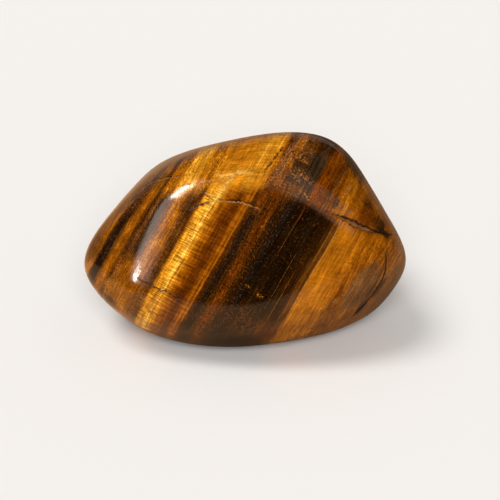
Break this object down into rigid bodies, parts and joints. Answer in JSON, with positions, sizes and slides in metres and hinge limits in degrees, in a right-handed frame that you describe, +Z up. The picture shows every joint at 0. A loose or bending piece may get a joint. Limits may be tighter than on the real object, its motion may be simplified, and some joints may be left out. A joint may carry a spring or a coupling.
{
  "type": "tumbled tiger's eye stone",
  "caption": "Polished tiger's eye pebble with broad worn faces, soft edges, golden and near-black layers and two open partings, resting on a small flat.",
  "frame": {"origin": "below the middle of the stone, at the level of the flat that it rests on", "axes": "+Z up, +X along the stone's length to the right of its main face, -Y out of its main face"},
  "size_m": [0.0362, 0.026, 0.024],
  "materials": {
    "tigers_eye": "high tumbled polish over silky fibrous layers, amber and gold to near black, with dull brown in the open partings"
  },
  "bodies": {
    "root": {"pebble": "tigers_eye"}
  },
  "joints": []
}
